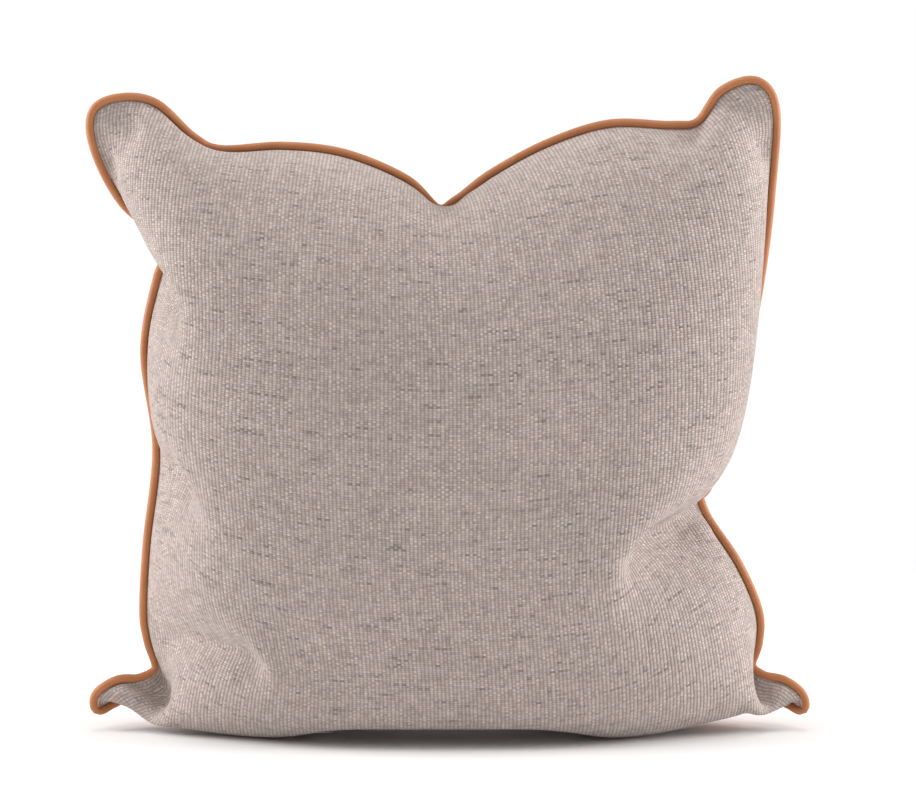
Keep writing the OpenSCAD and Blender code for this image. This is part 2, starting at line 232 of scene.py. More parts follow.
NU = 108
FRONT_ROWS = np.linspace(0, 1, 101)
BACK_ROWS = np.concatenate([
    np.linspace(0, ZIP_ROW - HALF_WINDOW / ROW_HEIGHT, 18)[:-1],
    np.linspace(ZIP_ROW - HALF_WINDOW / ROW_HEIGHT, ZIP_ROW + HALF_WINDOW / ROW_HEIGHT, 3),
    np.linspace(ZIP_ROW + HALF_WINDOW / ROW_HEIGHT, 1, 82)[1:],
])
WINDOW_ROWS = (17, 18, 19)        # the back's rows at the zip's window: lower edge, middle, upper edge
STEPS = 1500
ARCH = 0.011                      # how far the middle of the base stands off the floor
SAG_TOP = 0.22                    # the filling has sunk into this share of the height
PUSH = 0.00005                    # how far the filling's pressure moves a point in one step
SLOWING = 0.985
WEIGHT = 0.000008                 # how far the cloth's own weight moves a point in one step
GIVE = 0.010                      # how far past its start the filling can push the cloth
EAR_DEPTH = 0.013                 # how far out the cloth can stand at the ears
CREASE_GRIP = 0.45                # how firmly a crease is held where it starts, at the seam
CREASE_REACH = 0.0035             # how far from a crease's line the cloth is held


def panel_grid(rows):
    return np.meshgrid(np.linspace(0, 1, NU + 1), rows, indexing="ij")


def cut_to(cut, U, V):
    """Where each point lies in the flat panel, whose sides are eased in where the seam is pinched."""
    right = EASE_RIGHT * smooth(0.62, 1, U) * np.exp(-(((V - 0.32) / 0.13) ** 2))
    left = EASE_LEFT * (1 - smooth(0, 0.3, U)) * np.exp(-(((V - 0.40) / 0.32) ** 2))
    return np.stack([U * cut[0] - right + left, V * cut[1]], -1)


class Cloth:
    """A panel of cloth on a grid, moved in small steps that keep its threads at their length."""

    def __init__(self, start, rows, held, cut, stiff):
        self.p = start.copy()
        self.start = start
        self.moves = np.where(held, 0.0, 1.0)[..., None]
        self.size = cut_to(cut, *panel_grid(rows))
        self.links = []
        for reach, stretch, squeeze in ((1, 0.9, 0.5), (2, 0.0, 0.10 * stiff), (4, 0.0, 0.06 * stiff)):
            self.link(reach, 0, stretch, squeeze)
            self.link(0, reach, stretch, squeeze)
        self.link(1, 1, 0.12, 0.12)
        self.link(1, -1, 0.12, 0.12)

    def link(self, di, dj, stretch, squeeze):
        """Ties each point to the one di columns and dj rows away, in groups that share no point."""
        nu, nv = self.p.shape[:2]
        far = max(abs(di), abs(dj))
        for group in range(2):
            along = np.arange((nu if di else nv) - far)
            along = along[(along // far) % 2 == group]
            if di:
                rows_a = slice(1, nv) if dj < 0 else slice(0, nv - dj)
                rows_b = slice(0, nv - 1) if dj < 0 else slice(dj, nv)
                at_a, at_b = (along, rows_a), (along + di, rows_b)
            else:
                at_a, at_b = (slice(None), along), (slice(None), along + dj)
            rest = np.linalg.norm(self.size[at_b] - self.size[at_a], axis=-1, keepdims=True)
            weight_a, weight_b = self.moves[at_a], self.moves[at_b]
            both = np.maximum(weight_a + weight_b, 1e-9)
            self.links.append((at_a, at_b, rest, weight_a / both, weight_b / both, stretch, squeeze))

    def tighten(self):
        for at_a, at_b, rest, share_a, share_b, stretch, squeeze in self.links:
            a, b = self.p[at_a], self.p[at_b]
            d = b - a
            length = np.sqrt((d * d).sum(-1, keepdims=True)) + 1e-12
            over = length - rest
            d *= over * np.where(over > 0, stretch, squeeze) / length
            self.p[at_a] = a + d * share_a
            self.p[at_b] = b - d * share_b

    def outward(self, side):
        n = np.cross(np.gradient(self.p, axis=0), np.gradient(self.p, axis=1)) * -side
        return n / (np.linalg.norm(n, axis=2, keepdims=True) + 1e-12)

    def clear_piping(self, middle, every):
        """Keeps the cloth beside the seam on the outside of the piping."""
        if every:
            self.rim = [np.s_[:9, :], np.s_[-9:, :], np.s_[9:-9, :9], np.s_[9:-9, -9:]]
            self.near = []
            for part in self.rim:
                q = self.p[part].reshape(-1, 3)
                self.near.append(middle[((q[:, None] - middle[None]) ** 2).sum(2).argmin(1)])
        room = PIPING_R + 0.0004
        for part, near in zip(self.rim, self.near):
            q = self.p[part]
            d = q - near.reshape(q.shape)
            length = np.linalg.norm(d, axis=-1, keepdims=True) + 1e-12
            push = np.maximum(room - length, 0) / length * self.moves[part]
            self.p[part] = q + d * push

    def fill_limit(self, side):
        """How far out the filling reaches: as far as the start and a bit more, and further low down."""
        u = np.linspace(0, 1, self.p.shape[0])[:, None]
        v = self.size[:1, :, 1] / self.size[0, -1, 1]
        low = np.maximum(EAR_DEPTH, FULL_DEPTH * fullness(u) ** 0.8 * fullness(np.clip(v, SAG_TOP, 1)))
        return np.maximum(side * self.start[..., 1], low)[..., None] + GIVE

    def settle(self, side, middle, soft_hold, aims):
        """The filling pushes the cloth out until it's tight, or until the filling can't follow."""
        last = self.p.copy()
        limit = self.fill_limit(side)
        x = self.start[..., 0]
        arch = FLOOR_GAP + ARCH * (smooth(-0.115, -0.045, x) - smooth(0.045, 0.100, x))
        for step in range(STEPS):
            speed = (self.p - last) * SLOWING
            last = self.p.copy()
            press = np.clip((limit - side * self.p[..., 1:2]) / GIVE, -1, 1) * PUSH
            self.p += (speed + self.outward(side) * press) * self.moves
            self.p[..., 2:] -= WEIGHT * self.moves
            self.p += (aims - self.p) * soft_hold
            self.tighten()
            self.clear_piping(middle, step % 40 == 0)
            self.p[..., 2] = np.maximum(self.p[..., 2], arch)
        return self.p


def crease_field(start, side, creases):
    """Moves the start in along the creases, and says which points they hold and where."""
    aims = start.copy()
    hold = np.zeros(start.shape[:2] + (1,))
    for width, points in creases:
        path = np.array(points, float) * MM
        run = np.concatenate([[0], np.cumsum(np.linalg.norm(np.diff(path[:, :2], axis=0), axis=1))])
        fine = np.linspace(0, run[-1], max(2, int(run[-1] / 0.001)))
        path = np.column_stack([np.interp(fine, run, path[:, k]) for k in range(3)] + [
            CREASE_GRIP * (1 - smooth(0.45, 0.95, fine / run[-1]))
        ])
        flat = start[..., (0, 2)]
        gap = np.full(start.shape[:2], 1.0)
        deep = np.zeros(start.shape[:2])
        grip = np.zeros(start.shape[:2])
        for x, z, inward, firm in path:
            d = np.hypot(flat[..., 0] - x, flat[..., 1] - z)
            closer = d < gap
            gap = np.where(closer, d, gap)
            deep = np.where(closer, inward, deep)
            grip = np.where(closer, firm, grip)
        share = np.exp(-((gap / (width * MM)) ** 2))
        aims[..., 1] -= side * deep * share
        hold = np.maximum(hold, np.where(gap < CREASE_REACH, grip, 0.0)[..., None])
    return aims, hold


def rim(U, V):
    return (U < 1e-9) | (U > 1 - 1e-9) | (V < 1e-9) | (V > 1 - 1e-9)


def whole_seam(step):
    """The seam as one closed run of evenly spaced points, clockwise from the front."""
    runs = []
    for edge, forward in ((left_edge, True), (top_edge, True), (right_edge, False), (base_edge, False)):
        count = max(2, round(edge.length / step))
        share = np.arange(count) / count
        runs.append(edge(share if forward else 1 - share))
    return np.concatenate(runs)


def seam_outward(path):
    t = np.roll(path, -1, 0) - np.roll(path, 1, 0)
    out = np.stack([-t[:, 2], np.zeros(len(t)), t[:, 0]], -1)
    return out / np.linalg.norm(out, axis=1)[:, None]


# Folds that the filling doesn't fill: a width, then points x, z and how far in, in millimetres.
FRONT_CREASES = (
    (9, [(174, 156, 4), (164, 146, 18), (154, 142, 26), (140, 141, 24), (122, 142, 12), (104, 143, -4),
         (84, 143, -12)]),
    (9, [(-192, 334, 10), (-178, 318, 6), (-156, 303, -6)]),
    (8, [(-200, 67, 6), (-183, 68, 5), (-157, 68, 0), (-128, 68, -8), (-100, 68, -12)]),
    (7, [(-205, 37, 10), (-194, 24, 12), (-183, 11, 6)]),
    (7, [(209, 40, 8), (206, 26, 10), (204, 12, 6)]),
    (9, [(-225, 424, 6), (-213, 412, 7), (-206, 404, -2)]),
    (7, [(-236, 403, 4), (-229, 390, 6), (-224, 376, 0)]),
    (9, [(186, 430, 5), (200, 421, 8), (212, 417, 4)]),
    (8, [(208, 402, 6), (214, 384, 0)]),
    (9, [(172, 413, 6), (163, 401, 4), (156, 392, -4)]),
    (9, [(-178, 185, -4), (-153, 181, -8)]),
)
BACK_CREASES = (
    (11, [(176, 150, 6), (156, 140, 18), (135, 138, 14), (110, 140, 5)]),
    (10, [(-3, 352, 8), (-6, 338, 12), (-14, 322, 6)]),
    (9, [(-200, 336, 8), (-176, 312, 8), (-150, 300, 4)]),
    (9, [(-213, 412, 8), (-206, 400, 4)]),
    (9, [(198, 424, 8), (188, 408, 5)]),
)

seam_path = whole_seam(0.002)
piping_middle = seam_path + seam_outward(seam_path) * PIPING_OUT


def inflated(side, rows, creases, cut, stiff):
    U, V = panel_grid(rows)
    start = cover_start(side, U, V)
    held = rim(U, V)
    if side > 0:
        held |= zip_hold(start[..., 0], V) > 0.999
    aims, hold = crease_field(start, side, creases)
    hold[held] = 0
    cloth = Cloth(start, rows, held, cut, stiff)
    cloth.p = np.where(held[..., None], start, aims)
    return U, V, cloth.settle(side, piping_middle, hold, aims)


U, V, front_points = inflated(-1, FRONT_ROWS, FRONT_CREASES, FRONT_CUT, stiff=2.5)
UB, VB, back_points = inflated(1, BACK_ROWS, BACK_CREASES, BACK_CUT, stiff=3)


# ---------------------------------------------------------------- materials


class Nodes:
    """A material's node graph, built with short calls."""

    def __init__(self, name):
        self.mat = bpy.data.materials.new(name)
        self.mat.use_nodes = True
        self.tree = self.mat.node_tree
        self.tree.nodes.clear()
        self.out = self.tree.nodes.new("ShaderNodeOutputMaterial")
        self.shader = self.tree.nodes.new("ShaderNodeBsdfPrincipled")
        self.tree.links.new(self.shader.outputs[0], self.out.inputs[0])

    def put(self, socket, value):
        if isinstance(value, bpy.types.NodeSocket):
            self.tree.links.new(value, socket)
        elif value is not None:
            socket.default_value = value

    def set(self, **values):
        for name, value in values.items():
            self.put(self.shader.inputs[name.replace("_", " ")], value)

    def node(self, kind, props=None, **inputs):
        n = self.tree.nodes.new(kind)
        for key, value in (props or {}).items():
            setattr(n, key, value)
        for key, value in inputs.items():
            self.put(n.inputs[key], value)
        return n

    def math(self, op, a, b=None, c=None):
        n = self.tree.nodes.new("ShaderNodeMath")
        n.operation = op
        for socket, value in zip(n.inputs, (a, b, c)):
            self.put(socket, value)
        return n.outputs[0]

    def join(self, x, y, z=0.0):
        return self.node("ShaderNodeCombineXYZ", X=x, Y=y, Z=z).outputs[0]

    def noise(self, vector, scale, detail=2.0, rough=0.5):
        return self.node(
            "ShaderNodeTexNoise", Vector=vector, Scale=scale, Detail=detail, Roughness=rough
        ).outputs[0]

    def ramp(self, value, low, high, out_low=0.0, out_high=1.0):
        n = self.tree.nodes.new("ShaderNodeMapRange")
        names = ("Value", "From Min", "From Max", "To Min", "To Max")
        for key, v in zip(names, (value, low, high, out_low, out_high)):
            self.put(n.inputs[key], v)
        return n.outputs[0]

    def mix(self, share, a, b, blend="MIX"):
        n = self.tree.nodes.new("ShaderNodeMix")
        n.data_type = "RGBA"
        n.blend_type = blend
        self.put(n.inputs["Factor"], share)
        self.put(n.inputs[6], a)
        self.put(n.inputs[7], b)
        return n.outputs[2]

    def bump(self, height, strength, distance, normal=None):
        n = self.node("ShaderNodeBump", Height=height, Strength=strength, Distance=distance)
        if normal is not None:
            self.put(n.inputs["Normal"], normal)
        return n.outputs[0]

    def cloth_mm(self):
        """Millimetres along and up the cloth."""
        uv = self.node("ShaderNodeUVMap", {"uv_map": "weave"}).outputs[0]
        xyz = self.node("ShaderNodeSeparateXYZ", Vector=uv)
        along = self.math("MULTIPLY", xyz.outputs[0], 1000.0)
        up = self.math("MULTIPLY", xyz.outputs[1], 1000.0)
        return along, up


WARP_MM = 2.42                    # from one warp yarn to the next
WEFT_MM = 1.43
BLUE_YARN = (0.30, 0.32, 0.34, 1)
PALE_YARN = (0.61, 0.512, 0.468, 1)
DARK_YARN = (0.40, 0.324, 0.290, 1)
SLUB_YARN = (0.13, 0.105, 0.10, 1)
LEATHER = (0.50, 0.190, 0.070, 1)
# a darker leather tone: used for the random mottle, and as painted shade in the grain's furrows
LEATHER_DARK = (0.30, 0.095, 0.032, 1)


def linen():
    """Plain weave with thick marled warp yarns, thinner weft and darker slubs along the weft."""
    g = Nodes("linen")
    x, y = g.cloth_mm()
    plane = g.join(x, y)
    sway = g.noise(plane, 0.02, 2)
    wobble = g.noise(plane, 0.22, 2)
    X = g.math("ADD", g.math("DIVIDE", x, WARP_MM), g.ramp(wobble, 0, 1, -0.20, 0.20))
    Y = g.math("ADD", g.math("DIVIDE", y, WEFT_MM), g.ramp(sway, 0, 1, -0.8, 0.8))
    i, j = g.math("FLOOR", X), g.math("FLOOR", Y)
    fx, fy = g.math("FRACT", X), g.math("FRACT", Y)
    odd = g.math("MODULO", g.math("ABSOLUTE", g.math("ADD", i, j)), 2.0)
    even = g.math("SUBTRACT", 1.0, odd)
    arch_x = g.math("SINE", g.math("MULTIPLY", fx, math.pi))
    arch_y = g.math("SINE", g.math("MULTIPLY", fy, math.pi))
    crown = g.math("MULTIPLY_ADD", arch_y, 0.35, 0.65)
    warp_high = g.math("MULTIPLY", g.math("POWER", arch_x, 1.5), crown)
    weft_high = g.math("MULTIPLY", arch_y, g.math("MULTIPLY_ADD", arch_x, 0.75, 0.10))
    high = g.math("ADD", g.math("MULTIPLY", warp_high, even), g.math("MULTIPLY", weft_high, odd))
    # each yarn is spun from pale and dark fibres, and changes along its length
    warp_tone = g.noise(g.join(g.math("MULTIPLY", i, 7.31), g.math("MULTIPLY", y, 0.11), 1.0), 1.0, 2)
    weft_tone = g.noise(g.join(g.math("MULTIPLY", x, 0.045), g.math("MULTIPLY", j, 5.77), 7.0), 1.0, 2)
    knot = g.node("ShaderNodeTexWhiteNoise", {"noise_dimensions": "2D"}, Vector=g.join(i, j)).outputs[0]
    slub = g.ramp(weft_tone, 0.57, 0.68)
    tone = g.math("ADD", g.math("MULTIPLY", warp_tone, even), g.math("MULTIPLY", weft_tone, odd))
    tone = g.math("MULTIPLY_ADD", g.math("SUBTRACT", knot, 0.5), 0.12, tone)
    colour = g.mix(g.ramp(tone, 0.34, 0.66), DARK_YARN, PALE_YARN)
    specks = g.join(g.math("MULTIPLY", X, 0.8), g.math("MULTIPLY", Y, 0.5), 9.0)
    blue = g.ramp(g.noise(specks, 1.0, 1), 0.60, 0.70)
    colour = g.mix(g.math("MULTIPLY", blue, 0.45), colour, BLUE_YARN)
    colour = g.mix(g.math("MULTIPLY", slub, g.math("MULTIPLY_ADD", odd, 0.52, 0.16)), colour, SLUB_YARN)
    # painted shade and painted highlight: darker between the yarns, where the weave lies low, and
    # brighter on their crowns
    gap = g.ramp(high, 0.05, 0.80, 0.66, 1.12)
    colour = g.mix(1.0, colour, g.join(gap, gap, gap), "MULTIPLY")
    patch = g.ramp(g.noise(plane, 0.012, 3), 0.3, 0.7, 0.95, 1.04)
    colour = g.mix(1.0, colour, g.join(patch, patch, patch), "MULTIPLY")
    fibre = g.noise(g.join(g.math("MULTIPLY", x, 3.0), g.math("MULTIPLY", y, 1.2)), 1.6, 2)
    height = g.math("MULTIPLY_ADD", fibre, 0.18, high)
    g.set(Base_Color=colour, Roughness=0.9, Normal=g.bump(height, 0.8, 0.0006))
    g.set(Sheen_Weight=0.22, Sheen_Roughness=0.45, Sheen_Tint=(1.0, 0.92, 0.89, 1.0))
    g.set(Specular_IOR_Level=0.15)
    return g.mat




def leather(name):
    """Smooth tan leather: fine pebbled grain, a slight mottle and paler rubbed patches."""
    g = Nodes(name)
    x, y = g.cloth_mm()
    plane = g.join(x, y)
    bent = g.node("ShaderNodeVectorMath", {"operation": "ADD"})
    g.put(bent.inputs[0], plane)
    g.put(bent.inputs[1], g.node("ShaderNodeTexNoise", Vector=plane, Scale=0.8, Detail=1.0).outputs[1])
    to_edge = {"feature": "DISTANCE_TO_EDGE"}
    cells = g.node("ShaderNodeTexVoronoi", to_edge, Vector=bent.outputs[0], Scale=0.95)
    crease = g.ramp(cells.outputs[0], 0.0, 0.16)
    mottle = g.noise(plane, 0.022, 4, 0.6)
    fine = g.noise(plane, 3.0, 2)
    colour = g.mix(g.ramp(mottle, 0.3, 0.75, 0.0, 0.38), LEATHER, LEATHER_DARK)
    # painted shade: the colour darkens in the grain's furrows, at the cell edges where the bump sinks
    colour = g.mix(g.ramp(crease, 0.0, 1.0, 0.30, 0.0), colour, LEATHER_DARK)
    rub = g.ramp(g.noise(plane, 0.06, 3), 0.5, 0.75, 0.0, 0.16)
    colour = g.mix(rub, colour, (0.68, 0.33, 0.15, 1))
    height = g.math("ADD", g.math("MULTIPLY", crease, 0.5), g.math("MULTIPLY", fine, 0.35))
    g.set(Base_Color=colour, Roughness=g.ramp(mottle, 0.3, 0.7, 0.46, 0.58))
    g.set(Normal=g.bump(height, 0.45, 0.00025), Specular_IOR_Level=0.4, Sheen_Weight=0.04)
    return g.mat


def plain_weave(name, colour, dark, pitch=0.9):
    """Fine plain cloth for the hidden pieces and the zip's tape, by the object's own coordinates."""
    g = Nodes(name)
    at = g.node("ShaderNodeTexCoord").outputs["Object"]
    xyz = g.node("ShaderNodeSeparateXYZ", Vector=at)
    k = 1000.0 / pitch * math.pi
    a = g.math("SINE", g.math("MULTIPLY", g.math("ADD", xyz.outputs[0], xyz.outputs[1]), k))
    b = g.math("SINE", g.math("MULTIPLY", xyz.outputs[2], k))
    weave = g.math("MULTIPLY", a, b)
    tone = g.noise(at, 900.0, 3)
    # random tone mixed with painted shade and painted highlight: the weave's low points darker, its
    # crowns lighter
    tone_and_weave_shade = g.math("MULTIPLY_ADD", weave, 0.25, g.math("MULTIPLY", tone, 0.6))
    g.set(Base_Color=g.mix(g.ramp(tone_and_weave_shade, 0.0, 0.6), dark, colour), Roughness=0.9)
    g.set(Normal=g.bump(weave, 0.5, 0.0002))
    return g.mat


def brass():
    """Antique brass: brushed, darker in patches, with small scratches."""
    g = Nodes("antique_brass")
    at = g.node("ShaderNodeTexCoord").outputs["Object"]
    stretched = g.node("ShaderNodeMapping", Vector=at, Scale=(300.0, 300.0, 4000.0)).outputs[0]
    brush = g.noise(stretched, 1.0, 2)
    tarnish = g.noise(at, 420.0, 4, 0.6)
    colour = g.mix(g.ramp(tarnish, 0.35, 0.7), (0.66, 0.47, 0.22, 1), (0.32, 0.20, 0.085, 1))
    g.set(Base_Color=colour, Metallic=1.0, Roughness=g.ramp(brush, 0.3, 0.7, 0.24, 0.42))
    g.set(Normal=g.bump(brush, 0.15, 0.00005))
    return g.mat


def thread(name, colour):
    """Twisted polyester thread."""
    g = Nodes(name)
    at = g.node("ShaderNodeTexCoord").outputs["Object"]
    xyz = g.node("ShaderNodeSeparateXYZ", Vector=at)
    slant = g.math("MULTIPLY", xyz.outputs[2], 1.4)
    turn = g.math("MULTIPLY", g.math("ADD", xyz.outputs[0], slant), 9000.0)
    twist = g.math("SINE", turn)
    g.set(Base_Color=g.mix(g.ramp(twist, -1, 1, 0.0, 0.5), colour, (0.2, 0.09, 0.04, 1)), Roughness=0.55)
    g.set(Normal=g.bump(twist, 0.4, 0.0001), Sheen_Weight=0.2)
    return g.mat


LINEN = linen()
BACK_LEATHER = leather("tan_leather")
TAPE = plain_weave("zip_tape_weave", (0.20, 0.085, 0.04, 1), (0.09, 0.035, 0.015, 1), 0.7)
TICKING = plain_weave("cotton_ticking", (0.86, 0.84, 0.78, 1), (0.62, 0.60, 0.55, 1), 0.6)
LABEL = plain_weave("label_satin", (0.88, 0.88, 0.85, 1), (0.70, 0.70, 0.68, 1), 0.4)
FILLING = plain_weave("filling_fibre", (0.90, 0.90, 0.88, 1), (0.70, 0.70, 0.69, 1), 2.5)
BRASS = brass()
TAN_THREAD = thread("tan_thread", (0.62, 0.33, 0.15, 1))


def dress(obj, material, body, slot, *nodes):
    """Gives a new piece its material and body, and hides the CAD nodes that it stands for; the slot is
    not used.
    """
    obj.data.materials.clear()
    obj.data.materials.append(material)
    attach(obj, body)
    if nodes:
        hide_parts(*nodes)
    return obj


# ---------------------------------------------------------------- the cover


def front_panel():
    faces = grid_faces(NU, len(FRONT_ROWS) - 1, False)
    obj = new_object("front_panel_cloth", front_points.reshape(-1, 3), faces)
    set_uv(obj, cut_to(FRONT_CUT, U, V).reshape(-1, 2))
    finish_cloth(obj, CLOTH_T)
    dress(obj, LINEN, "cushion", "woven_fabric", "front_panel")


def close_window(points):
    """Past the zip's ends the two leather pieces meet: their edges are drawn together there."""
    out = points.copy()
    low, mid, high = WINDOW_ROWS
    share = smooth(STOP_X + 0.003, STOP_X + 0.011, np.abs(points[:, mid, 0]))[:, None] * 0.93
    out[:, low] += (points[:, mid] - points[:, low]) * share
    out[:, high] += (points[:, mid] - points[:, high]) * share
    return out


def back_panel(name, node, rows):
    """One of the back's two leather pieces, from one row of the grid to another."""
    first, last = rows
    points = close_window(back_points)[:, first : last + 1]
    obj = new_object(name, points.reshape(-1, 3), grid_faces(NU, last - first, True))
    set_uv(obj, cut_to(BACK_CUT, UB, VB)[:, first : last + 1].reshape(-1, 2))
    finish_cloth(obj, CLOTH_T)
    dress(obj, BACK_LEATHER, "cushion", "tan_leather", node)


front_panel()
back_panel("back_panel_lower_leather", "back_panel_lower", (0, WINDOW_ROWS[0]))
back_panel("back_panel_upper_leather", "back_panel_upper", (WINDOW_ROWS[2], len(BACK_ROWS) - 1))


# ---------------------------------------------------------------- the piping

SEAM_STEP = 0.0014


def round_profile(radius, sides):
    """A circle as pairs: how far out from the middle, and how far to the side."""
    return [
        (radius * math.cos(2 * math.pi * k / sides), radius * math.sin(2 * math.pi * k / sides))
        for k in range(sides)
    ]


def piping_profile():
    """The leather wrapped round the cord, with its two edges sewn flat together as a flange."""
    reach = math.radians(163)
    count = 15
    turns = [-reach + 2 * reach * k / (count - 1) for k in range(count)]
    wrap = [(PIPING_R * math.cos(t), PIPING_R * math.sin(t)) for t in turns]
    end = -PIPING_R - FLANGE
    return wrap + [(end, FLANGE_T / 2), (end, -FLANGE_T / 2)]


def around(path, profile, outward, ripple=None):
    """A closed run of one profile along the seam; outward is how far its middle lies outside it."""
    out = seam_outward(path)
    middle = path + out * outward
    t = np.roll(middle, -1, 0) - np.roll(middle, 1, 0)
    t /= np.linalg.norm(t, axis=1)[:, None]
    side = np.cross(t, out)
    side /= np.linalg.norm(side, axis=1)[:, None]
    shape = np.tile(np.array(profile, float), (len(path), 1, 1))
    if ripple is not None:
        angle = np.arctan2(shape[0, :, 1], shape[0, :, 0])
        shape *= 1 + ripple(middle, angle)[..., None] / PIPING_R
    points = middle[:, None] + out[:, None] * shape[..., :1] + side[:, None] * shape[..., 1:]
    n, sides = len(path), len(profile)
    faces = []
    for k in range(n):
        for j in range(sides):
            a, b = k * sides + j, k * sides + (j + 1) % sides
            c, d = ((k + 1) % n) * sides + (j + 1) % sides, ((k + 1) % n) * sides + j
            faces.append((a, b, c, d))
    return points.reshape(-1, 3), faces, middle


def tube_uv(obj, middle, profile):
    """Metres along and around the profile, without a stretched last ring."""
    run = np.concatenate([[0], np.cumsum(np.linalg.norm(np.diff(middle, axis=0), axis=1))])
    whole = run[-1] + np.linalg.norm(middle[0] - middle[-1])
    loop = np.array(profile + profile[:1])
    girth = np.concatenate([[0], np.cumsum(np.linalg.norm(np.diff(loop, axis=0), axis=1))])
    layer = obj.data.uv_layers.new(name="weave")
    n, sides = len(middle), len(profile)
    for poly in obj.data.polygons:
        for corner, vert in zip(poly.loop_indices, poly.vertices):
            k, j = divmod(vert, sides)
            last_ring = poly.index // sides == n - 1 and k == 0
            last_side = poly.index % sides == sides - 1 and j == 0
            along = whole if last_ring else run[k]
            layer.data[corner].uv = (along, girth[-1] if last_side else girth[j])


def piping():
    path = whole_seam(SEAM_STEP)
    profile = piping_profile()

    def ripple(middle, angle):
        """Small cross wrinkles where the piping bends, deepest on the inside of the bend."""
        t = np.roll(middle, -1, 0) - np.roll(middle, 1, 0)
        t /= np.linalg.norm(t, axis=1)[:, None]
        far = 4
        turn = np.cross(np.roll(t, far, 0), np.roll(t, -far, 0))[:, 1] / (2 * far * SEAM_STEP)
        run = np.arange(len(middle)) * SEAM_STEP
        wave = 0.6 * np.sin(run / 0.0031 * 2 * math.pi + 2.0 * np.sin(run * 71))
        wave += 0.4 * np.sin(run / 0.0019 * 2 * math.pi)
        inside = np.clip(-np.sign(turn)[:, None] * np.cos(angle)[None, :], 0, 1)
        depth = np.clip(np.abs(turn) / 60, 0, 1)
        swell = 0.00012 * np.sin(run * 43 + 1.3 * np.sin(run * 17))
        return -0.00035 * (depth * (0.5 + 0.5 * wave))[:, None] * inside + swell[:, None]

    points, faces, middle = around(path, profile, PIPING_OUT, ripple)
    obj = new_object("piping_leather_wrap", points, faces)
    tube_uv(obj, middle, profile)
    dress(obj, leather("piping_leather"), "cushion", "piping_leather", "piping_cover")


def piping_cord():
    """The cotton cord inside the piping, with its twist."""

    def twist(middle, angle):
        run = np.arange(len(middle)) * 0.003
        return 0.00018 * np.cos(3 * (angle[None, :] + run[:, None] * 400))

    profile = round_profile(CORD_R - 0.0003, 10)
    points, faces, _ = around(whole_seam(0.003), profile, PIPING_OUT, twist)
    obj = new_object("piping_cotton_cord", points, faces)
    dress(obj, TICKING, "cushion", "cotton_cord", "piping_cord")


def seam_thread():
    """The lockstitch inside the seam: a thread that swells at each stitch."""

    def stitches(middle, angle):
        run = np.arange(len(middle)) * 0.002
        return 0.00012 * np.cos(run / 0.0032 * 2 * math.pi)[:, None] * np.ones(len(angle))

    points, faces, _ = around(whole_seam(0.002), round_profile(0.00035, 6), -0.0012, stitches)
    dress(new_object("seam_lockstitch", points, faces), TAN_THREAD, "cushion", "thread", "seam_thread")


piping()
piping_cord()
seam_thread()


# ---------------------------------------------------------------- the zip


def on_zip(angle, out, height):
    """A point on the zip's curve: an angle from +Y towards +X, a distance out and a height."""
    r = TAPE_R + out
    return ZIP_CENTRE + Vector((r * math.sin(angle), r * math.cos(angle), height))


def topstitching(name, node, height):
    """A row of stitches, each a small bead of thread sunk into the leather."""
    pitch, length, radius = 0.0038, 0.0029, 0.00034
    reach = (STOP_X + 0.001) / TAPE_R
    count = int(2 * reach * TAPE_R / pitch)
    sides, rings = 8, 7
    verts, faces = [], []
    for k in range(count):
        middle = (k - (count - 1) / 2) * pitch / TAPE_R
        base = len(verts)
        for a in range(rings + 1):
            s = a / rings
            along = middle + (s - 0.5) * length / TAPE_R
            fat = radius * max(0.05, math.sin(math.pi * s)) ** 0.4
            lift = LEATHER_R - TAPE_R + 0.00012 - 0.0003 * (2 * s - 1) ** 4
            for b in range(sides):
                t = 2 * math.pi * b / sides
                verts.append(on_zip(along, lift + fat * math.cos(t), height + fat * math.sin(t)))
        for a in range(rings):
            for b in range(sides):
                p, q = base + a * sides + b, base + a * sides + (b + 1) % sides
                faces.append((p, q, q + sides, p + sides))
        faces.append(tuple(base + b for b in reversed(range(sides))))
        faces.append(tuple(base + rings * sides + b for b in range(sides)))
    dress(new_object(name, verts, faces), TAN_THREAD, "cushion", "thread", node)


for part in ("upper", "lower"):
    lo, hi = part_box(f"zip_thread_{part}")
    topstitching(f"topstitch_{part}", f"zip_thread_{part}", (lo.z + hi.z) / 2 - ZIP_CENTRE.z)

# ---------------------------------------------------------------- carried-over CAD nodes

for node, material in (
    ("zip_tape_upper", TAPE), ("zip_tape_lower", TAPE),
    ("zip_teeth_upper", BRASS), ("zip_teeth_lower", BRASS),
    ("zip_top_stops", BRASS), ("zip_bottom_stop", BRASS), ("zip_slider", BRASS), ("zip_pull", BRASS),
    ("care_label", LABEL), ("insert_label", LABEL), ("insert_seam_thread", TICKING),
):
    mesh = frame["nodes"][node].data
    mesh.materials.clear()
    mesh.materials.append(material)


# ---------------------------------------------------------------- the insert

INSERT_EDGE = 0.06                # share of the cover's width that the insert stays clear of
ZIP_ROOM = 0.005                  # the hollow in the insert behind the zip
INSERT_STEPS = 40
INSERT_DEPTH = 0.004              # from the cover's surface to the ticking
FILLING_DEPTH = 0.0055            # from the cover's surface to the filling
TICKING_T = 0.0005


def sample(points, u, v, rows):
    """The simulated panel at any share across and up."""
    iu = np.clip(u * NU, 0, NU - 1e-6)
    iv = np.interp(v, rows, np.arange(len(rows)))
    iv = np.clip(iv, 0, len(rows) - 1 - 1e-6)
    a, b = np.floor(iu).astype(int), np.floor(iv).astype(int)
    fu, fv = (iu - a)[..., None], (iv - b)[..., None]
    return (
        points[a, b] * (1 - fu) * (1 - fv) + points[a + 1, b] * fu * (1 - fv)
        + points[a, b + 1] * (1 - fu) * fv + points[a + 1, b + 1] * fu * fv
    )


